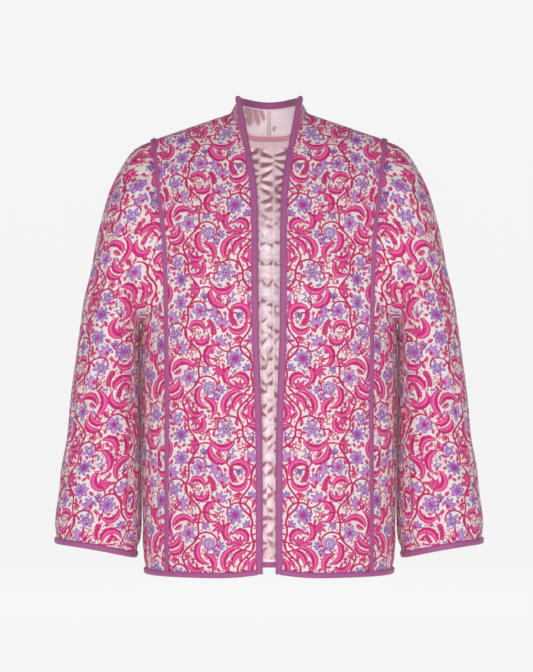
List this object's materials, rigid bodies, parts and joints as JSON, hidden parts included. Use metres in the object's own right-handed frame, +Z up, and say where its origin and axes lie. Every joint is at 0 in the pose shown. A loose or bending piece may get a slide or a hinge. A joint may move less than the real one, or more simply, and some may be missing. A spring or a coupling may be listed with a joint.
{
  "type": "padded jacket",
  "caption": "Hip-length quilted open-front jacket with a stand collar, wide sleeves, contrast bound edges and a satin lining, in hollow worn form.",
  "frame": {"origin": "on the centre line at the height of the back neck seam, above the middle of the body's depth", "axes": "+Z up, the front faces -Y, the wearer's left is +X"},
  "size_m": [0.6238, 0.2514, 0.694],
  "materials": {
    "printed_cotton": "matte printed cotton",
    "binding_cotton": "plain cotton binding",
    "satin": "glossy satin"
  },
  "bodies": {
    "root": {"front_left": "printed_cotton", "front_right": "printed_cotton", "back": "printed_cotton", "side_left": "printed_cotton", "side_right": "printed_cotton", "sleeve_left": "printed_cotton", "sleeve_right": "printed_cotton", "collar_left": "printed_cotton", "collar_right": "printed_cotton", "strip_left": "binding_cotton", "strip_right": "binding_cotton", "binding_front_left": "binding_cotton", "binding_front_right": "binding_cotton", "binding_neck": "binding_cotton", "binding_hem": "binding_cotton", "binding_cuff_left": "binding_cotton", "binding_cuff_right": "binding_cotton", "back_lining": "satin", "collar_lining_left": "satin", "collar_lining_right": "satin", "neck_tape": "satin"}
  },
  "joints": []
}
